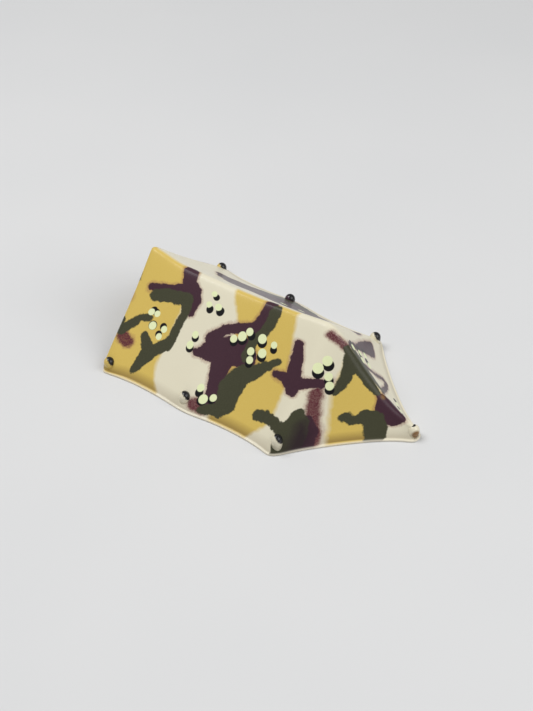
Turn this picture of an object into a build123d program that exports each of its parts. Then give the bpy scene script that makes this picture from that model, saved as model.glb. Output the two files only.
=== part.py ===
from build123d import *
from math import asin, atan2, hypot, sin, cos
import os

# A miniature moulded tent: one hollow plastic canopy held down by seven round-topped pegs.
# Frame: +X from the front wall to the tip of the tail, +Z up, the hem rests on Z = 0,
# and the origin is under the middle of the bounding box. All sizes are in millimetres.

# ---- overall sizes, hem lip included ----
overall_length = 46.2
body_length = 31.1          # front edge to the rear corners, where the tail begins
front_width = 30.7          # before its corners are rounded
middle_width = 29.6         # at the middle pair of pegs
rear_width = 28.8           # at the rear corners

# ---- heights above the table ----
front_ridge_height = 13.3
dip_ridge_height = 12.3     # lowest point of the sagging ridge
dip_share = 0.22            # where along the body that point lies
ridge_climb = 1.3           # 1 climbs straight, more climbs late
rear_ridge_height = 14.0
nose_height = 2.4           # the blunt end of the tail
tail_hollow = 0.55          # 0 runs straight down the tail, more falls early and then flattens

# ---- plan shape of the hem between the pegs ----
side_scallop = 0.85         # how far the hem curves in between two side pegs
tail_scallop = 0.8          # the same along the tail, measured square to it
hem_tautness = 2.6          # 2 is an even curve, more is straighter between the pegs
nose_width = 3.0
front_corner_round = 1.6    # plan radius of the hem at its front corners
rear_corner_round = 0.9     # and at its rear corners

# ---- canopy wall ----
wall = 0.9
crest_round = 1.0           # outer radius along the ridge and the spine
nose_crest_round = 0.7
front_round = 0.9           # radius where the front wall meets the slopes
hem_lip = 0.35              # how far the hem stands out past the foot of a slope
front_lip = 0.1             # the same along the front wall, which is nearly flush
hem_thickness = 0.35
least_inner_round = 0.1

# ---- closed front door: a groove where its two flaps meet ----
door_seam_width = 0.35
door_seam_depth = 0.25
door_seam_gap = 2.2         # from the seam's top to the crest

# ---- pegs and their sockets ----
peg_diameter = 1.6
front_peg_height = 2.2      # tops of the pegs above the table
middle_peg_height = 2.5
rear_peg_height = 2.8
tip_peg_height = 2.2        # nearly flush with the nose
peg_hem_inset = 1.75        # from the edge of the hem to a peg's centre, across the tent
middle_peg_share = 0.487    # of the body length, from the front
front_peg_inset = 1.2       # from the front edge to the front pegs
rear_peg_inset = 0.1        # from the rear corners forward to the rear pegs
tip_peg_inset = 1.1
peg_clearance = 0.02        # radial, a light press fit
socket_wall = 0.6
socket_floor = 0.4
socket_head = 0.3           # the socket post rises this far past the round of its peg
cut_past = 1.0              # the cavity is cut this far past the open underside

# ---- how finely the lofts follow the curves ----
span_steps = 4              # stations from one side peg to the next
tail_steps = 4              # stations along the tail

front_x = -overall_length / 2
rear_x = front_x + body_length
tip_x = front_x + overall_length
nose_x = tip_x - nose_width / 2


def scalloped(start, end, depth, share):
    """Half width at a share of the way from one peg to the next: the hem drops away from
    a peg quickly and runs nearly straight between them."""
    return start + (end - start) * share - depth * (1 - abs(2 * share - 1) ** hem_tautness)


def ridge_height(share):
    """The ridge dips behind its front end, then climbs evenly to the rear."""
    if share < dip_share:
        part = share / dip_share
        return front_ridge_height - (front_ridge_height - dip_ridge_height) * part * (2 - part)
    part = (share - dip_share) / (1 - dip_share)
    return dip_ridge_height + (rear_ridge_height - dip_ridge_height) * part ** ridge_climb


# Stations along the body: place, half width of the hem, height of the crest.
def body_stations():
    spans = [(front_width / 2, middle_width / 2), (middle_width / 2, rear_width / 2)]
    stations = []
    steps = 2 * span_steps
    for i in range(steps + 1):
        span = int(i > span_steps)
        start, end = spans[span]
        half = scalloped(start, end, side_scallop, i / span_steps - span)
        stations.append((front_x + body_length * i / steps, half, ridge_height(i / steps)))
    return stations


# Stations along the tail, from the rear corners to the nose.
def tail_stations():
    tail = nose_x - rear_x
    drop = rear_ridge_height - nose_height
    chord_slant = hypot(tail, (rear_width - nose_width) / 2) / tail
    stations = []
    for i in range(tail_steps + 1):
        share = i / tail_steps
        half = scalloped(rear_width / 2, nose_width / 2, tail_scallop * chord_slant, share)
        left = 1 - share
        height = nose_height + drop * (left ** 2 * tail_hollow + left * (1 - tail_hollow))
        stations.append((rear_x + tail * share, half, height))
    return stations


def crest_radius(height):
    """The crest tightens a little towards the low nose."""
    share = (height - nose_height) / (rear_ridge_height - nose_height)
    return nose_crest_round + (crest_round - nose_crest_round) * min(share, 1)


def tent_section(x, half, height, inset=0.0):
    """Upright cross-section: two straight slopes tangent to a round crest, on a flat base."""
    foot = half - hem_lip
    crest = crest_radius(height)
    centre = height - crest
    reach = hypot(foot, centre)
    slope = atan2(centre, foot) + asin(crest / reach)
    round_inside = max(crest - inset, least_inner_round)
    base = foot - inset / sin(slope)
    touch = (round_inside * sin(slope), centre + round_inside * cos(slope))
    right = Line((base, 0), touch)
    top = ThreePointArc(touch, (0, centre + round_inside), (-touch[0], touch[1]))
    left = Line((-touch[0], touch[1]), (-base, 0))
    if inset:
        bottom = Polyline((-base, 0), (-base, -cut_past), (base, -cut_past), (base, 0))
    else:
        bottom = Line((-base, 0), (base, 0))
    return Plane.YZ.offset(x) * make_face([bottom, right, top, left])


def lofted(stations, inset=0.0):
    return loft([tent_section(x, half, height, inset) for x, half, height in stations])


# ---- outer form ----
body = body_stations()
tail = tail_stations()
front_wall_x = front_x + front_lip
body_form = [(front_wall_x, body[0][1], body[0][2])] + body[1:]
front_form = lofted(body_form)
front_edges = front_form.faces().sort_by(Axis.X)[0].edges().filter_by(
    lambda edge: edge.center().Z > hem_thickness)
front_form = fillet(front_edges, front_round)
tail_form = lofted(tail)
nose_form = Pos(nose_x, 0, 0) * Cylinder(
    nose_width / 2 - hem_lip, nose_height - nose_crest_round / 2,
    align=(Align.CENTER, Align.CENTER, Align.MIN))

# ---- hem: a thin lip all round the foot ----
side = Spline([(x, half) for x, half, height in body])
tail_edge = Spline([(x, half) for x, half, height in tail])
nose_edge = ThreePointArc((nose_x, nose_width / 2), (tip_x, 0), (nose_x, -nose_width / 2))
front_edge = Line((front_x, -front_width / 2), (front_x, front_width / 2))
hem_outline = make_face([front_edge, side, tail_edge, nose_edge,
                         mirror(tail_edge, Plane.XZ), mirror(side, Plane.XZ)])
hem = extrude(hem_outline, hem_thickness)
corners = hem.edges().filter_by(Axis.Z).filter_by(
    lambda edge: abs(edge.center().Y) > nose_width).sort_by(Axis.X)
hem = fillet(corners[:2], front_corner_round)
corners = hem.edges().filter_by(Axis.Z).filter_by(
    lambda edge: abs(edge.center().Y) > nose_width).sort_by(Axis.X)
hem = fillet(corners[-2:], rear_corner_round)
outer = front_form + tail_form + nose_form + hem

# ---- cavity, open underneath ----
cavity_body = [(front_wall_x + wall, body[0][1], body[0][2])] + body[1:]
cavity_tail = tail[:-1]
cavity = lofted(cavity_body, wall) + lofted(cavity_tail, wall)

# ---- door seam down the front wall, from under the crest to the hem ----
seam_height = front_ridge_height - door_seam_gap - hem_thickness
door_seam = Pos(front_wall_x, 0, hem_thickness) * Box(
    2 * door_seam_depth, door_seam_width, seam_height,
    align=(Align.CENTER, Align.CENTER, Align.MIN))

# ---- peg places ----
peg_radius = peg_diameter / 2
side_peg_places = {
    "front": (front_x + front_peg_inset, front_width / 2, front_peg_height),
    "middle": (front_x + body_length * middle_peg_share, middle_width / 2, middle_peg_height),
    "rear": (rear_x - rear_peg_inset, rear_width / 2, rear_peg_height),
}
pegs = {}
for place, (x, hem_half, top) in side_peg_places.items():
    y = hem_half - peg_hem_inset
    pegs["peg_left_" + place] = (x, y, top)
    pegs["peg_right_" + place] = (x, -y, top)
pegs["peg_tip"] = (tip_x - tip_peg_inset, 0, tip_peg_height)


def upright(radius, low, high, x, y):
    return Pos(x, y, low) * Cylinder(radius, high - low, align=(Align.CENTER, Align.CENTER, Align.MIN))


# ---- canopy shell with its sockets ----
shell = outer - cavity
post_radius = peg_radius + peg_clearance + socket_wall
posts = []
for x, y, top in pegs.values():
    post_top = top - peg_radius + socket_head
    posts.append(upright(post_radius, 0, post_top, x, y) & outer)
shell = shell + posts - door_seam
for x, y, top in pegs.values():
    shell = shell - upright(peg_radius + peg_clearance, socket_floor, top + peg_diameter, x, y)


def domed_peg(x, y, top):
    """A round pin that stands on the floor of its socket and ends in a half ball."""
    shank = upright(peg_radius, socket_floor, top - peg_radius, x, y)
    dome = Sphere(peg_radius, arc_size1=0, align=(Align.CENTER, Align.CENTER, Align.MIN))
    return shank + Pos(x, y, top - peg_radius) * dome


parts = {"canopy_shell": shell}
for name, place in pegs.items():
    parts[name] = domed_peg(*place)

os.makedirs("parts", exist_ok=True)
for name, shape in parts.items():
    export_step(shape, "parts/" + name + ".step")
    size = shape.bounding_box().size
    print(name, len(shape.solids()), round(shape.volume, 3), size)
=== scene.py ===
# %% [markdown]
# # A miniature toy tent in desert camouflage
# This lesson builds the looks of a moulded plastic toy tent, 46 mm long. The real toy is one thin
# sheet of cream plastic, drawn over a mould, sprayed with tan bands and printed with maroon-brown and
# olive blobs and pale pebbles. Seven round-topped pegs pin its hem. The sizes come from the packed
# model, so the first step loads it and keeps its box.

# %% Load the frame
import math
import bmesh
import bpy
from mathutils import Matrix, Vector


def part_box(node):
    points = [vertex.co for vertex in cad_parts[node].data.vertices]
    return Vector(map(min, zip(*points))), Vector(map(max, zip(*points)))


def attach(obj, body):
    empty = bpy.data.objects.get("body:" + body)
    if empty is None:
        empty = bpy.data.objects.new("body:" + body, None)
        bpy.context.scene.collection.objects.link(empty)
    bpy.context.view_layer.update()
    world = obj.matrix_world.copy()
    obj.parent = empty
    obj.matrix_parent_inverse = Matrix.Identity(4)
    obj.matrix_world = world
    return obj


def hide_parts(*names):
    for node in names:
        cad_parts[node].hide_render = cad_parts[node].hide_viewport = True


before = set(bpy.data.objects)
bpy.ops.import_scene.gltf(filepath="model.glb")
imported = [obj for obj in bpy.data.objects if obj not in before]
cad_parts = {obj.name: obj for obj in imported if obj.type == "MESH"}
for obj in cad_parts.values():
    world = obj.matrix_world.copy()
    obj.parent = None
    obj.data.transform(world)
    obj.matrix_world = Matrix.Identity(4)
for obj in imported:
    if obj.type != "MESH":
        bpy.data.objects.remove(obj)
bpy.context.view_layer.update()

MM = 0.001

# %% [markdown]
# ## The plan of the hem
# The hem is pinned at three pegs on each side and pulled in between them, like cloth under tension.
# A formula gives that better than a list of points: a straight line from peg to peg, less a scallop
# that is flat in its middle and steep beside the pegs. Everything is in millimetres until a mesh is
# made.

# %% Plan and ridge of the tent
shell_low, shell_high = (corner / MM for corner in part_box("canopy_shell"))
FRONT, TIP = shell_low.x, shell_high.x
HEM_LIP = 0.35               # how far the hem stands out past the wall
HEM_THICK = 0.34
WALL = 0.9


def peg_place(node):
    """Axis, top and radius of one peg of the frame, in millimetres."""
    low, high = (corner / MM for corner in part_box(node))
    return Vector(((low.x + high.x) / 2, (low.y + high.y) / 2, high.z)), (high.x - low.x) / 2


pegs = {node: peg_place(node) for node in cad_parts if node.startswith("peg_")}
REAR = pegs["peg_left_rear"][0].x + 0.1
MIDDLE = (FRONT + REAR) / 2
NOSE_RADIUS = 1.5
NOSE = TIP - NOSE_RADIUS

FRONT_HALF, MIDDLE_HALF, REAR_HALF = 15.25, 14.85, 14.5
SIDE_SCALLOP, TAIL_SCALLOP = 0.95, 1.1
TAUTNESS = 2.6


def scalloped(start, end, depth, share):
    return start + (end - start) * share - depth * (1 - abs(2 * share - 1) ** TAUTNESS)


def hem_half(x):
    """Half width of the hem at a place along the tent."""
    if x <= MIDDLE:
        return scalloped(FRONT_HALF, MIDDLE_HALF, SIDE_SCALLOP, (x - FRONT) / (MIDDLE - FRONT))
    if x <= REAR:
        return scalloped(MIDDLE_HALF, REAR_HALF, SIDE_SCALLOP, (x - MIDDLE) / (REAR - MIDDLE))
    if x <= NOSE:
        return scalloped(REAR_HALF, NOSE_RADIUS, TAIL_SCALLOP, (x - REAR) / (NOSE - REAR))
    return math.sqrt(max(NOSE_RADIUS ** 2 - (x - NOSE) ** 2, 0))


# The ridge as a side view: it drops fast behind the front end, sags, climbs to a round rear end,
# then runs down the tail in a hollow curve to the blunt nose.
RIDGE = [(0.0, 13.75), (2.2, 13.15), (3.7, 12.65), (5.8, 12.4), (8.8, 12.4), (12.6, 12.45), (16.2, 12.55),
         (19.7, 12.7), (23.2, 13.05), (26.7, 13.35), (29.6, 13.75), (31.4, 13.9), (32.8, 13.1), (34.4, 11.3),
         (36.6, 8.5), (38.8, 6.4), (41.2, 4.4), (43.2, 3.3), (44.6, 2.95)]
print("hem half widths:", [round(hem_half(x), 2) for x in (FRONT, MIDDLE, REAR, NOSE)])

# %% [markdown]
# ## The canopy
# A drawn plastic sheet has the same thickness all over, soft edges and a small lip where it was cut
# from its sheet. It could be sculpted, or lofted from sections. Here a flat grid is laid over the
# tent as a coarse cage, one column for each station along the ridge and one row for each height,
# because a few well-placed points give a Subdivision Surface its long, clean curves. The front wall
# is the first column extruded to the middle, and the far side is a mirror of the near one.

# %% Cage columns
TIP_COLUMNS = [(1.5, 0.0), (1.06, 1.06), (0.0, 1.5)]     # across and along the nose's round end


CORNER_PULL = [0.3, 0.3, 0.3, -0.1]      # rounds the front corner more at its foot than above it


EDGE_LEAD = [0.25, 0.4, 0.85]            # makes up for what the rounding takes off the front edge
APEX_LIFT, CREST_LIFT = 0.35, 0.3        # and off the top, at the front end and along the ridge


def column(hem, crest, lip_out):
    """Points of one column from the hem's underside to the crest.
    hem and crest are points, lip_out is the flat direction in which the lip stands out."""
    hem, crest, lip_out = Vector(hem), Vector(crest), Vector(lip_out)
    foot = hem - lip_out * HEM_LIP
    foot.z = HEM_THICK
    rise = (crest - foot)
    start = foot + rise.normalized() * 0.55
    hollow = Vector((0, 0, -0.12))
    return [hem,
            hem + Vector((0, 0, HEM_THICK)),
            foot + lip_out * 0.02 + Vector((0, 0, 0.02)),
            start,
            foot + rise * 0.33 + hollow,
            foot + rise * 0.68 + hollow,
            crest]


def outward(x):
    """Flat direction square to the hem at a place along the tent."""
    slope = (hem_half(x + 0.01) - hem_half(x - 0.01)) / 0.02
    return Vector((-slope, 1, 0)).normalized()


PEG_REACH, PEG_SWELL = 1.2, 0.45         # the sheet swells where it is drawn over a peg


def outer_columns():
    columns = []
    for back, height in RIDGE[:-1]:
        x = FRONT + back
        if not columns:
            # the front edge stands flush with the hem, so the lip only stands out sideways
            corner = column((x, FRONT_HALF, 0), (x, 0, height), (0, 1, 0))
            for point, pull in zip(corner, CORNER_PULL):
                point += Vector((pull, -pull, 0))
            for point, lead in zip(corner[4:], EDGE_LEAD):
                point.x -= lead
            corner[-1].z += APEX_LIFT
            columns.append(corner)
            continue
        if abs(x - REAR) < 0.5:
            x = REAR
        side = outward(x)
        if x == REAR:
            side = Vector((0.42, 0.91, 0))
        lift = CREST_LIFT if x <= REAR else 0
        points = column((x, hem_half(x), 0), (x, 0, height + lift), side)
        if min(abs(x - top.x) for top, radius in pegs.values()) < PEG_REACH:
            points[3] += (side * 0.55 + Vector((0, 0, 0.8))) * PEG_SWELL
        columns.append(points)
    for across, along in TIP_COLUMNS:
        height = RIDGE[-1][1] - 0.25 * along / NOSE_RADIUS
        crest = (NOSE - 0.15 + along * 0.35, 0, height)
        out = Vector((along, across, 0)).normalized()
        columns.append(column((NOSE + along, across, 0), crest, out))
    return columns


def laid_grid(mesh, columns):
    """A flat grid whose points are carried to the cage's columns."""
    across, along = len(columns[0]) - 1, len(columns) - 1
    made = bmesh.ops.create_grid(mesh, x_segments=along, y_segments=across, size=1)
    grid = {}
    for vert in made["verts"]:
        i = round((vert.co.x + 1) / 2 * along)
        j = round((vert.co.y + 1) / 2 * across)
        vert.co = columns[i][j]
        grid[i, j] = vert
    return grid


cage = bmesh.new()
columns = outer_columns()
grid = laid_grid(cage, columns)
top_row = len(columns[0]) - 1
print("cage columns:", len(columns), "rows:", top_row + 1)

# %% Front wall, far side and soft edges
def edge_between(mesh, a, b):
    return next(edge for edge in a.link_edges if b in edge.verts)


front_column = [edge_between(cage, grid[0, j], grid[0, j + 1]) for j in range(top_row)]
crest_row = [edge_between(cage, grid[i, top_row], grid[i + 1, top_row]) for i in range(len(columns) - 1)]
DOOR_TOP, DOOR_DEPTH = 11.0, 0.25        # the two door flaps meet in a groove up to this height
DOOR_LOOPS = [0.7, 0.3, 0.0]             # loops down the wall that hold the door groove, and its middle
loop_edges = front_column
for reach in DOOR_LOOPS:
    made = bmesh.ops.extrude_edge_only(cage, edges=loop_edges)["geom"]
    loop_verts = {piece for piece in made if isinstance(piece, bmesh.types.BMVert)}
    loop_edges = [piece for piece in made
                  if isinstance(piece, bmesh.types.BMEdge) and set(piece.verts) <= loop_verts]
    for vert in loop_verts:
        vert.co.y = min(vert.co.y, reach)
        if vert.co.z < RIDGE[0][1]:
            vert.co.x = FRONT
for edge in cage.edges:
    edge.seam = edge in front_column or edge in crest_row
bmesh.ops.remove_doubles(cage, verts=cage.verts, dist=0.001)
bmesh.ops.mirror(cage, geom=cage.verts[:] + cage.edges[:] + cage.faces[:], axis="Y", merge_dist=0.001)
bmesh.ops.recalc_face_normals(cage, faces=cage.faces)
soft = [edge for edge in cage.edges if edge.seam]
print("edges to soften:", len(soft), "open edges:", sum(edge.is_boundary for edge in cage.edges))
bmesh.ops.bevel(cage, geom=soft, offset=0.95, segments=3, profile=0.5, affect="EDGES", material=-1)
print("lowest after softening:", round(min(vert.co.z for vert in cage.verts), 3))
for vert in cage.verts:
    vert.co.z = max(vert.co.z, 0)       # the bevel runs past the open hem at the front corners


def finished(mesh, name, body="root", materials=()):
    """Turns a bmesh in millimetres into an object at the origin that rides on a body."""
    bmesh.ops.scale(mesh, vec=(MM, MM, MM), verts=mesh.verts)
    data = bpy.data.meshes.new(name)
    mesh.to_mesh(data)
    mesh.free()
    for polygon in data.polygons:
        polygon.use_smooth = True
    piece = bpy.data.objects.new(name, data)
    bpy.context.scene.collection.objects.link(piece)
    for material in materials:
        data.materials.append(material)
    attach(piece, body)
    print(name, "faces:", len(data.polygons))
    return piece


canopy = finished(cage, "canopy")
groove_group = canopy.vertex_groups.new(name="door groove")
groove_verts = [vert.index for vert in canopy.data.vertices
                if abs(vert.co.y) < 0.01 * MM and vert.co.x < (FRONT + 0.2) * MM and vert.co.z < DOOR_TOP * MM]
groove_group.add(groove_verts, 1.0, "REPLACE")
print("groove vertices:", len(groove_verts))
smooth = canopy.modifiers.new("smooth", "SUBSURF")
smooth.levels = smooth.render_levels = 3
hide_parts("canopy_shell")

# %% [markdown]
# ## A small language for shader maths
# The pattern needs many sums of distances. Written node by node they would be unreadable, so one small
# class wraps an output socket: Python's operators on it add Math nodes, and one method adds any other
# node from its type, its settings and its sockets.

# %% The wrapped socket
class Wire:
    def __init__(self, tree, socket=None):
        self.tree, self.socket = tree, socket

    def node(self, kind, settings, sockets, out=0):
        made = self.tree.nodes.new("ShaderNode" + kind)
        for name, value in settings.items():
            setattr(made, name, value)
        for place, value in sockets.items():
            if isinstance(value, Wire):
                self.tree.links.new(value.socket, made.inputs[place])
            else:
                made.inputs[place].default_value = value
        return Wire(self.tree, made.outputs[out])

    def math(self, operation, *values):
        return self.node("Math", {"operation": operation}, dict(enumerate(values)))

    def vector(self, operation, *values, out=0):
        return self.node("VectorMath", {"operation": operation}, dict(enumerate((self,) + values)), out)

    def scaled(self, vector):
        return self.node("VectorMath", {"operation": "SCALE"}, {0: vector, "Scale": self})

    def __add__(self, other):
        return self.math("ADD", self, other)

    def __radd__(self, other):
        return self.math("ADD", other, self)

    def __sub__(self, other):
        return self.math("SUBTRACT", self, other)

    def __rsub__(self, other):
        return self.math("SUBTRACT", other, self)

    def __mul__(self, other):
        return self.math("MULTIPLY", self, other)

    def __rmul__(self, other):
        return self.math("MULTIPLY", other, self)

    def __truediv__(self, other):
        return self.math("DIVIDE", self, other)

    def lesser(self, other):
        return self.math("MINIMUM", self, other)

    def greater(self, other):
        return self.math("MAXIMUM", self, other)

    def clamped(self):
        # A Clamp node of its own: a Math node's clamp setting is worked out after all other nodes,
        # and a pattern of many strokes then holds too many values at once.
        return self.node("Clamp", {}, {0: self})

    def inside(self, softness):
        """Turns a distance into a mask: 1 inside a shape, 0 outside, soft over this many millimetres."""
        return self.math("MULTIPLY_ADD", self, -1 / softness, 0.5).clamped()

    def over(self, under, color):
        """Lays a colour over another one, with this wire as the mask."""
        return self.node("Mix", {"data_type": "RGBA"}, {0: self, 6: under, 7: color}, out=2)


def ink(red, green, blue):
    """A colour named by its screen values, as the linear colour that a shader reads."""
    return tuple(((c / 255 + 0.055) / 1.055) ** 2.4 for c in (red, green, blue)) + (1,)


def noise(place, scale, detail=2.0, color=False):
    return place.node("TexNoise", {}, {"Vector": place, "Scale": scale, "Detail": detail}, out=int(color))


def new_material(name):
    material = bpy.data.materials.new(name)
    material.use_nodes = True
    tree = material.node_tree
    place = Wire(tree).node("TexCoord", {}, {}, out=3)
    return material, tree.nodes["Principled BSDF"], (Wire(tree, place.socket)).vector(
        "MULTIPLY", (1 / MM, 1 / MM, 1 / MM))


def plug(principled, **wires):
    for name, value in wires.items():
        socket = principled.inputs[name.replace("_", " ")]
        if isinstance(value, Wire):
            value.tree.links.new(value.socket, socket)
        else:
            socket.default_value = value

# %% [markdown]
# ## Strokes of paint on a slope
# The camouflage is printed in blobs with arms. Each blob is a chain of rounded strokes, given as
# distance from the front, height and half width, in millimetres. Measuring in space would make a
# stroke thinner wherever the soft surface leaves the ideal slope, so the slope is unrolled instead:
# the height is stretched to the length it has along the slope, and the place across the tent only
# counts near the ridge, where a printed shape may wrap over to the other side.

# %% Points on the canopy
def crest_height(back):
    for (x0, z0), (x1, z1) in zip(RIDGE, RIDGE[1:]):
        if back <= x1:
            return z0 + (z1 - z0) * (back - x0) / (x1 - x0)
    return RIDGE[-1][1]


SLOPE_STRETCH = 1.42         # length along a slope for one millimetre of height
RIDGE_WRAP = 3.0             # beyond this, the place across the tent only tells its side


def on_slope(back, height, side=-1):
    crest = crest_height(back)
    share = min(max((height - HEM_THICK) / (crest - HEM_THICK), 0), 1)
    half = max(hem_half(FRONT + back) - HEM_LIP, 0)
    across = min(half * (1 - share), RIDGE_WRAP)
    return Vector((FRONT + back, side * across, height * SLOPE_STRETCH))


def in_space(back, height, side=-1):
    """The real point of a slope. The tail's facets turn two ways, so round pebbles there need it."""
    share = min((height - HEM_THICK) / (crest_height(back) - HEM_THICK), 1)
    half = max(hem_half(FRONT + back) - HEM_LIP, 0)
    return Vector((FRONT + back, side * half * (1 - share), height))


def in_space_far(back, height):
    return in_space(back, height, side=1)


def unrolled(place):
    """The same unrolling for the place that the shader looks at."""
    parts = [place.node("SeparateXYZ", {}, {0: place}, out=i) for i in range(3)]
    across = parts[1].greater(-RIDGE_WRAP).lesser(RIDGE_WRAP)
    return place.node("CombineXYZ", {}, {0: parts[0], 1: across, 2: parts[2] * SLOPE_STRETCH})


def on_front(across, height):
    return Vector((FRONT, across, height))


def capsule(place, start, end, start_round, end_round):
    """Distance from a tapered stroke between two points."""
    along = end - start
    away = place.vector("SUBTRACT", start)
    share = away.vector("DOT_PRODUCT", along / along.length_squared, out=1).clamped()
    gap = away.vector("DISTANCE", share.scaled(along), out=1)
    return share.math("MULTIPLY_ADD", share, start_round - end_round, gap) - start_round


def painted(place, chains, put=on_slope):
    """Distance from the union of chains of strokes."""
    nearest = None
    for chain in chains:
        stops = [(put(*stop[:2]), stop[2]) for stop in chain]
        for (start, r0), (end, r1) in zip(stops, stops[1:]):
            stroke = capsule(place, start, end, r0, r1)
            nearest = stroke if nearest is None else nearest.lesser(stroke)
    return nearest


def far_slope(back, height):
    return on_slope(back, height, side=1)

# %% Maroon-brown strokes, as (distance from the front, height, half width)
BROWN = [
    [(6.9, 12.8, 1.25), (7.6, 11.3, 1.2), (9.0, 10.6, 1.2), (9.6, 9.9, 1.2), (10.0, 8.7, 0.55)],
    [(2.4, 9.7, 0.65), (5.0, 10.0, 0.65), (7.6, 10.6, 0.9)],
    [(13.4, 5.5, 0.45), (15.2, 6.2, 1.3), (17.5, 6.8, 2.0), (20.0, 7.4, 2.0), (21.4, 7.2, 1.5)],
    [(15.0, 7.4, 1.1), (16.2, 8.6, 0.75), (18.6, 9.55, 0.75), (20.6, 10.1, 0.9), (21.4, 11.2, 1.0),
     (21.5, 12.8, 1.0)],
    [(18.0, 6.0, 1.7), (18.3, 4.6, 1.4), (19.0, 3.2, 1.3), (19.0, 2.0, 1.2)],
    [(28.1, 10.7, 0.8), (28.7, 9.4, 1.05), (29.2, 7.9, 1.25), (29.8, 6.7, 1.0)],
    [(26.4, 7.1, 0.45), (27.6, 7.2, 0.75), (29.2, 7.3, 1.2), (30.6, 7.5, 0.95), (32.2, 7.7, 0.65),
     (33.3, 7.4, 0.75)],
    [(39.9, 5.1, 0.7), (41.0, 3.8, 1.6), (42.0, 2.9, 1.7), (43.1, 2.8, 0.8)],
    [(32.6, 3.4, 1.0), (33.1, 1.7, 1.7), (33.4, 0.5, 1.5)]]
BROWN_FAR = [
    [(5.0, 4.6, 1.0), (8.5, 5.2, 3.2), (13.0, 5.6, 5.6), (23.0, 5.6, 5.4), (28.0, 6.5, 3.2)],
    [(33.9, 11.0, 0.5), (33.8, 9.6, 0.6), (33.2, 6.2, 0.95), (33.0, 3.8, 1.15)],
    [(35.8, 9.0, 0.4), (36.6, 5.7, 0.3), (37.1, 2.7, 0.3), (37.8, 2.2, 0.45), (38.7, 3.4, 0.45), (39.4, 5.0, 0.5)]]
MAROON = [
    [(0.5, 4.5, 0.8), (2.5, 3.8, 0.8)],
    [(16.9, 1.3, 0.9), (18.2, 1.2, 0.9)],
    [(32.8, 6.6, 0.65), (33.4, 4.4, 0.6), (33.9, 2.8, 0.6), (34.5, 1.5, 0.7), (34.5, 0.4, 0.7)],
    [(31.8, 12.8, 0.65), (33.1, 12.1, 0.6), (34.1, 11.3, 0.65)]]
DARK_FOOT = [[(32.7, 3.2, 0.4), (33.2, 1.5, 1.0), (33.3, 0.5, 1.0)]]

# %% Olive strokes
OLIVE = [
    [(3.5, 9.0, 0.95), (6.0, 9.4, 1.0), (8.4, 9.7, 1.15), (9.1, 8.8, 0.75), (8.9, 7.0, 0.7), (8.8, 5.0, 0.85),
     (7.3, 4.1, 0.9), (6.2, 3.3, 1.25), (5.2, 1.4, 0.65)],
    [(4.4, 4.9, 0.55), (6.0, 3.6, 1.1)],
    [(4.0, 6.6, 0.55), (2.8, 6.5, 0.6), (1.8, 5.6, 0.7), (0.7, 4.8, 0.8)],
    [(22.7, 12.4, 0.95), (22.6, 10.8, 0.9), (22.1, 9.8, 0.75), (21.2, 8.8, 0.8), (21.3, 7.2, 0.9)],
    [(26.2, 8.3, 0.5), (24.9, 7.4, 0.75), (23.4, 6.3, 1.05), (21.6, 5.2, 1.6), (21.0, 3.9, 1.9), (21.3, 2.3, 1.5),
     (20.6, 1.5, 1.1), (18.2, 1.0, 0.6)],
    [(26.5, 2.7, 0.75), (27.9, 3.1, 0.8), (29.8, 3.0, 0.85), (31.3, 2.8, 1.1)],
    [(31.9, 4.4, 0.75), (32.0, 3.2, 1.3), (32.1, 1.6, 1.7), (32.2, 0.6, 1.5)],
    [(34.5, 10.3, 0.5), (35.3, 8.4, 1.1), (35.2, 7.0, 0.8), (34.9, 6.2, 0.5)],
    [(36.8, 3.2, 0.65), (37.9, 2.6, 0.7), (39.2, 3.0, 1.2), (40.1, 2.7, 1.4), (40.9, 1.5, 1.5), (41.1, 0.8, 1.3)]]
SPINE = [[(34.3, 11.1, 0.7), (36.0, 8.9, 0.95), (38.0, 6.8, 0.95), (39.3, 5.6, 0.65)]]
OLIVE_FAR = [[(11.0, 2.2, 0.8), (16.0, 3.0, 1.2), (20.0, 1.8, 0.9)],
             [(34.3, 10.4, 0.6), (36.0, 8.2, 0.7), (38.0, 6.1, 0.7), (39.2, 5.0, 0.5)]]

# The front wall carries the same print, carried round its corners.
FRONT_BROWN = [[(-11.0, 1.6, 0.7), (-9.0, 2.6, 1.2), (-6.0, 4.6, 1.1), (-5.2, 7.4, 0.8)],
               [(10.4, 3.4, 0.8), (6.4, 5.0, 1.3), (3.4, 8.2, 1.0)]]
FRONT_OLIVE = [[(-11.0, 4.5, 0.55), (-8.4, 5.2, 0.8), (-7.6, 3.4, 0.9)],
               [(8.6, 5.2, 0.7), (5.6, 2.8, 1.2), (2.4, 2.2, 0.8)], [(-3.4, 9.8, 0.5), (-0.6, 11.2, 0.9)]]

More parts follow.
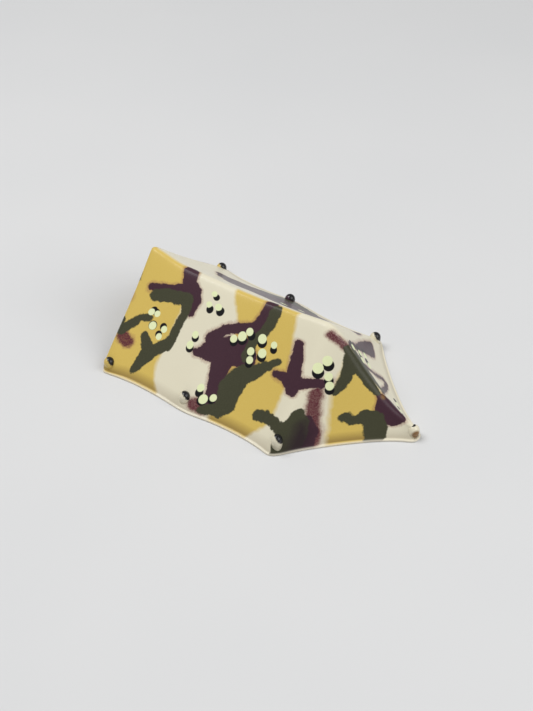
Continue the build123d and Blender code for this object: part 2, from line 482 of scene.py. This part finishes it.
# %% Pebbles, as (distance from the front, height, radius, shadow along, shadow up)
PEBBLES = [
    (3.9, 7.25, 0.5, 0.25, 0.2), (4.9, 7.25, 0.47, -0.25, 0.1), (5.0, 6.0, 0.6, 0.0, 0.04),
    (7.0, 6.1, 0.5, -0.25, 0.18), (6.7, 5.25, 0.48, -0.18, 0.18),
    (12.3, 11.25, 0.53, 0.5, -0.2), (12.2, 10.15, 0.53, 0.4, -0.3), (13.8, 10.3, 0.62, 0.5, -0.2),
    (12.2, 7.0, 0.53, 0.2, -0.25), (12.1, 5.9, 0.57, 0.15, -0.25),
    (18.2, 8.3, 0.55, 0.2, -0.25), (19.3, 8.85, 0.68, 0.2, -0.25), (20.1, 9.55, 0.57, 0.45, -0.25),
    (22.4, 9.5, 0.68, 0.2, -0.3), (21.5, 7.9, 0.57, 0.2, -0.2), (21.9, 7.1, 0.54, 0.1, -0.3),
    (23.3, 8.25, 0.66, 0.1, -0.3), (24.5, 9.5, 0.5, 0.2, -0.4),
    (16.8, 2.9, 0.55, 0.1, -0.4), (17.9, 2.0, 0.66, -0.1, -0.12), (19.2, 2.4, 0.52, -0.1, -0.2)]
PEBBLES_FAR = [(18.8, 7.0, 0.6, -0.4, 0.1), (20.6, 5.2, 0.55, -0.4, 0.1)]
PEBBLES_TAIL = [
    (32.0, 9.3, 0.76, 0.2, -0.45), (32.7, 10.05, 0.72, 0.3, -0.5), (33.5, 8.2, 0.6, 0.2, -0.45),
    (34.0, 7.1, 0.62, 0.15, -0.42)]
PEBBLES_TAIL_FAR = [
    (34.1, 10.1, 0.5, -0.4, 0.3), (34.5, 8.3, 0.5, -0.4, 0.3), (34.5, 6.7, 0.5, -0.4, 0.3),
    (35.4, 8.0, 0.5, -0.4, 0.3), (35.8, 6.2, 0.5, -0.4, 0.4),
    (40.7, 1.4, 0.4, -0.45, 0.2), (41.9, 1.5, 0.38, -0.4, 0.2), (43.1, 1.5, 0.35, -0.4, 0.2)]


def dots(place, pebbles, put, shadow):
    nearest = None
    for back, height, radius, along, up in pebbles:
        centre = put(back + along * shadow, height + up * shadow)
        dot = place.vector("DISTANCE", centre, out=1) - radius * (1 + 0.12 * shadow)
        nearest = dot if nearest is None else nearest.lesser(dot)
    return nearest

# %% [markdown]
# ## The camouflage finish
# The order follows the maker's: cream plastic, soft sprayed tan bands, maroon-brown and olive print,
# then black dots with pale pebbles over them, a little off register. The edges of the print wander
# by a fraction of a millimetre because a noise moves the place that is looked up, and the brown
# leaves a reddish speckle beside its edge.

# %% Camouflage material
FRONT_EDGE = 0.35            # the front wall's own print ends this far round its edges
DOOR_SEAM_WIDTH = 0.35


def camouflage():
    material, principled, place = new_material("camouflage print")
    wander = noise(place, 1.1, 3.0, color=True).vector("SUBTRACT", (0.5, 0.5, 0.5))
    frayed = noise(place, 4.5, 2.0, color=True).vector("SUBTRACT", (0.5, 0.5, 0.5))
    moved = place.vector("ADD", wander.vector("MULTIPLY", (0.6, 0.6, 0.6)))
    printed = moved.vector("ADD", frayed.vector("MULTIPLY", (0.2, 0.2, 0.2)))
    sheet, still = unrolled(printed), unrolled(place)
    grain = noise(place, 9.0, 1.0)
    sides = place.node("SeparateXYZ", {}, {0: moved}, out=0)
    back = sides - FRONT
    up = place.node("SeparateXYZ", {}, {0: moved}, out=2)

    # tan bands: bounded along the tent, with bounds that lean with the height
    low = (1 - up / 3).greater(0.0)
    first = back - (8.3 + 2.7 * low * low)
    second_start = 17.9 - 1.04 * (up - 9.7).greater(0.0) + 0.2 * (9.7 - up).greater(0.0)
    second_end = 28.8 - 0.42 * (up - 6.5).greater(0.0) - 1.1 * (2.7 - up).greater(0.0)
    second = (second_start - back).greater(back - second_end)
    third = (34.5 + 0.27 * (6.0 - up).greater(0.0) - back).greater(back - 40.8)
    across = place.node("SeparateXYZ", {}, {0: place}, out=1)
    # the spray came from the near side, so it covers that slope and the front wall
    front_wall = FRONT_EDGE - (place.node("SeparateXYZ", {}, {0: place}, out=0) - FRONT)
    on_wall = (front_wall * 5).clamped()
    spray_end = across - 0.3 - 12.5 * on_wall
    sprayed = first.lesser(second).lesser(third).greater(spray_end)
    # the hollow above the lip is darker: partly spray gathered there, partly painted shade of the recess
    height = place.node("SeparateXYZ", {}, {0: place}, out=2)
    hollow = ((1.5 - height) * 0.9).clamped() * ((height - 0.36) * 9).clamped()
    tan = sprayed.inside(0.7)

    color = noise(place, 0.35, 2.0).math("MULTIPLY_ADD", grain, 0.1, 0.25).over(
        ink(226, 220, 197), ink(217, 209, 184))
    color = tan.over(color, grain.over(ink(205, 175, 86), ink(214, 188, 103)))
    # painted shade, with some gathered spray, in the hollow above the lip, stronger on the tan
    color = (hollow * (0.3 + 0.4 * tan)).over(color, ink(104, 76, 48))

    # the print of the slopes stops at the front edge, and the front wall has its own
    brown = painted(sheet, BROWN).lesser(painted(sheet, BROWN_FAR, far_slope)).greater(front_wall).lesser(
        painted(printed, FRONT_BROWN, on_front))
    maroon = painted(sheet, MAROON).greater(front_wall)
    speckle = noise(place, 7.0, 0.0)
    fleck = speckle.math("GREATER_THAN", speckle, 0.5)
    halo = ((brown.lesser(maroon) - 0.12).inside(0.75) * (0.65 + 0.3 * fleck))
    color = halo.over(color, ink(140, 86, 80))
    color = (maroon.inside(0.4) * (0.78 + 0.2 * fleck)).over(color, ink(92, 44, 52))
    color = brown.inside(0.14).over(color, grain.over(ink(56, 34, 44), ink(76, 50, 60)))
    olive = painted(sheet, OLIVE).lesser(painted(sheet, SPINE)).lesser(
        painted(sheet, OLIVE_FAR, far_slope)).greater(front_wall).lesser(
        painted(printed, FRONT_OLIVE, on_front))
    color = olive.inside(0.18).over(color, grain.over(ink(56, 56, 40), ink(76, 76, 58)))
    color = (painted(sheet, DARK_FOOT).inside(1.4) * 0.85).over(color, ink(46, 32, 40))
    # the lip is painted pale: a painted highlight where light catches the cut edge of the sheet
    lip = ((0.4 - height) * 8).clamped()
    color = (lip * 0.75).over(color, ink(230, 222, 204))
    # the two door flaps meet in a groove down the middle of the front wall; the groove is painted darker as painted
    # shade
    groove = (across.math("ABSOLUTE", across) - DOOR_SEAM_WIDTH / 2).inside(0.1) * on_wall
    groove = groove * (height - DOOR_TOP).inside(0.3)
    color = (groove * 0.7).over(color, ink(70, 52, 36))

    def all_dots(shadow):
        body = dots(still, PEBBLES, on_slope, shadow).lesser(dots(still, PEBBLES_FAR, far_slope, shadow))
        return body.lesser(dots(place, PEBBLES_TAIL, in_space, shadow)).lesser(
            dots(place, PEBBLES_TAIL_FAR, in_space_far, shadow))

    black = all_dots(1.1)
    pale = all_dots(0)
    color = black.inside(0.09).over(color, ink(20, 19, 22))
    color = pale.inside(0.09).over(color, grain.over(ink(222, 229, 176), ink(232, 238, 196)))
    worn = place.vector("DISTANCE", (TIP - 0.3, -0.6, 1.1), out=1).lesser(
        still.vector("DISTANCE", on_slope(40.3, 5.1), out=1) + 0.1)
    color = (worn - 0.65).inside(0.4).over(color, ink(132, 96, 52))

    bump = place.node("Bump", {}, {"Strength": 0.12, "Distance": 0.00004, "Height": noise(place, 1.6, 3.0)})
    plug(principled, Base_Color=color, Roughness=0.24 + 0.14 * noise(place, 0.8, 3.0), Normal=bump)
    plug(principled, Coat_Weight=0.05, Specular_IOR_Level=0.16)
    return material

# %% [markdown]
# ## Plain plastic
# The inside was never printed, so it shows the bare cream plastic, a little duller than the outside.

# %% Bare plastic and printed pegs
def bare_plastic():
    material, principled, place = new_material("bare cream plastic")
    tone = noise(place, 0.5, 3.0)
    plug(principled, Base_Color=tone.over(ink(214, 206, 184), ink(224, 217, 197)),
         Roughness=0.42 + 0.12 * noise(place, 2.2, 2.0))
    return material


def peg_plastic():
    material, principled, place = new_material("peg plastic")
    nearest = None
    for top, radius in pegs.values():
        print_centre = top + Vector((0.36, 0.36, -0.45))
        cap = place.vector("DISTANCE", print_centre, out=1) - radius * 1.12
        nearest = cap if nearest is None else nearest.lesser(cap)
    rough_edge = noise(place, 3.5, 2.0)
    black = (nearest + 0.25 * rough_edge - 0.12).inside(0.12)
    # the tip's peg is nearly flush and only carries a small mark and a worn brown spot
    tip_top = pegs["peg_tip"][0]
    mark = place.vector("DISTANCE", tip_top + Vector((-0.25, 0.1, 0.0)), out=1) - 0.4
    beside_tip = (TIP - 2.6 - place.node("SeparateXYZ", {}, {0: place}, out=0)).inside(0.1)
    black = (1 - beside_tip) * black + beside_tip * mark.inside(0.12)
    cream = noise(place, 1.2, 2.0).over(ink(217, 209, 184), ink(226, 220, 197))
    # under the black print a peg takes the colour of the slope it stands on
    along, across = (place.node("SeparateXYZ", {}, {0: place}, out=i) for i in range(2))
    front_pegs = (along - (FRONT + 3.0)).inside(0.2)
    cream = front_pegs.over(cream, ink(207, 180, 98))
    far_middle = (place.vector("DISTANCE", pegs["peg_left_middle"][0], out=1) - 3.0).inside(0.2)
    cream = far_middle.over(cream, ink(66, 44, 58))
    spot = place.vector("DISTANCE", (TIP - 0.35, -0.55, 1.2), out=1) - 0.65
    cream = spot.inside(0.3).over(cream, ink(132, 96, 52))
    plug(principled, Base_Color=black.over(cream, ink(18, 18, 22)),
         Roughness=0.2 + 0.12 * noise(place, 2.0, 2.0))
    plug(principled, Coat_Weight=0.2, Specular_IOR_Level=0.35)
    return material

# %% [markdown]
# ## The canopy's wall
# The cage is only the outer skin. A Solidify modifier gives it a wall with a rim along the hem, and
# the Subdivision Surface then rounds both skins together. The inner skin takes the bare plastic.

# %% Wall, smoothing and print
camouflage_print = camouflage()
print("camouflage nodes:", len(camouflage_print.node_tree.nodes))
bare = bare_plastic()
canopy.data.materials.append(camouflage_print)
canopy.data.materials.append(bare)
canopy_wall = canopy.modifiers.new("wall", "SOLIDIFY")
canopy_wall.thickness = 0.75 * MM
canopy_wall.offset = -1
canopy_wall.material_offset = 1
# the lip is thinner than the wall, so the wall thins towards it instead of dipping below the table
wall_group = canopy.vertex_groups.new(name="full wall")
wall_group.add([vert.index for vert in canopy.data.vertices if vert.co.z > 1.2 * MM], 1.0, "REPLACE")
canopy_wall.vertex_group = wall_group.name
canopy_wall.thickness_vertex_group = 0.3
canopy.modifiers.move(1, 0)
groove_press = canopy.modifiers.new("door groove", "DISPLACE")
groove_press.vertex_group = groove_group.name
groove_press.direction = "X"
groove_press.mid_level = 0
groove_press.strength = DOOR_DEPTH * MM

# %% [markdown]
# ## Pegs
# Each peg is a round pin with a domed top. Half its profile is drawn once, from the floor of its
# socket to the top of the dome, and spun about its axis.

# %% Spun pegs
peg_print = peg_plastic()
DOME_STEPS = 6


def peg_mesh(top, radius, low):
    mesh = bmesh.new()
    outline = [(0.0, low), (radius, low), (radius, top.z - radius)]
    outline += [(radius * math.cos(a), top.z - radius + radius * math.sin(a))
                for a in (math.pi / 2 * i / DOME_STEPS for i in range(1, DOME_STEPS))]
    outline.append((0.0, top.z))
    verts = [mesh.verts.new((top.x + across, top.y, height)) for across, height in outline]
    edges = [mesh.edges.new(pair) for pair in zip(verts, verts[1:])]
    bmesh.ops.spin(mesh, geom=verts + edges, cent=(top.x, top.y, 0), axis=(0, 0, 1),
                   angle=2 * math.pi, steps=32, use_merge=True)
    bmesh.ops.remove_doubles(mesh, verts=mesh.verts, dist=0.0005)
    bmesh.ops.recalc_face_normals(mesh, faces=mesh.faces)
    return mesh


for node, (top, radius) in pegs.items():
    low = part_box(node)[0].z / MM
    pin = finished(peg_mesh(top, radius, low), node.replace("peg_", "pin_"),
                   materials=[peg_print])
    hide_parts(node)

# %% [markdown]
# ## Camera
# The camera looks down on the tent from behind its near corner.

# %% Camera
AZIMUTH, ELEVATION, ROLL = (math.radians(a) for a in (-52.66, 42.84, -1.99))
toward = -Vector((math.cos(ELEVATION) * math.cos(AZIMUTH), math.cos(ELEVATION) * math.sin(AZIMUTH),
                  math.sin(ELEVATION)))
side = Vector((-math.sin(AZIMUTH), math.cos(AZIMUTH), 0))
up = side.cross(toward)
right_dir = math.cos(ROLL) * side + math.sin(ROLL) * up
up_dir = -math.sin(ROLL) * side + math.cos(ROLL) * up
target = Vector((-1.83, -1.53, 4.0)) * MM
camera_data = bpy.data.cameras.new("camera")
camera_data.lens = 55.7
camera_data.clip_start = 0.005
camera = bpy.data.objects.new("camera", camera_data)
bpy.context.scene.collection.objects.link(camera)
turn = Matrix((right_dir, up_dir, -toward)).transposed()
camera.matrix_world = Matrix.Translation(target - toward * 159.0 * MM) @ turn.to_4x4()
bpy.context.scene.camera = camera

# %% Floor and light
floor_mesh = bmesh.new()
bmesh.ops.create_grid(floor_mesh, x_segments=1, y_segments=1, size=1.5)
floor_data = bpy.data.meshes.new("floor")
floor_mesh.to_mesh(floor_data)
floor = bpy.data.objects.new("floor", floor_data)
bpy.context.scene.collection.objects.link(floor)
floor_paint, floor_look, floor_place = new_material("studio paper")
plug(floor_look, Base_Color=noise(floor_place, 0.02, 2.0).over(ink(208, 209, 210), ink(216, 216, 216)), Roughness=0.9)
floor_data.materials.append(floor_paint)
world = bpy.data.worlds.new("room")
bpy.context.scene.world = world
world.use_nodes = True
world.node_tree.nodes["Background"].inputs["Color"].default_value = (1, 1, 1, 1)
world.node_tree.nodes["Background"].inputs["Strength"].default_value = 0.32
LAMPS = {"key": ((-0.16, -0.06, 0.36), 0.22, 0.95), "fill": ((0.28, 0.05, 0.25), 0.3, 0.75)}
for name, (spot, size, energy) in LAMPS.items():
    lamp_data = bpy.data.lights.new(name, "AREA")
    lamp_data.size, lamp_data.energy = size, energy
    lamp = bpy.data.objects.new(name, lamp_data)
    lamp.location = spot
    lamp.rotation_euler = (-Vector(spot)).to_track_quat("-Z", "Y").to_euler()
    bpy.context.scene.collection.objects.link(lamp)
bpy.context.scene.view_settings.view_transform = "Standard"
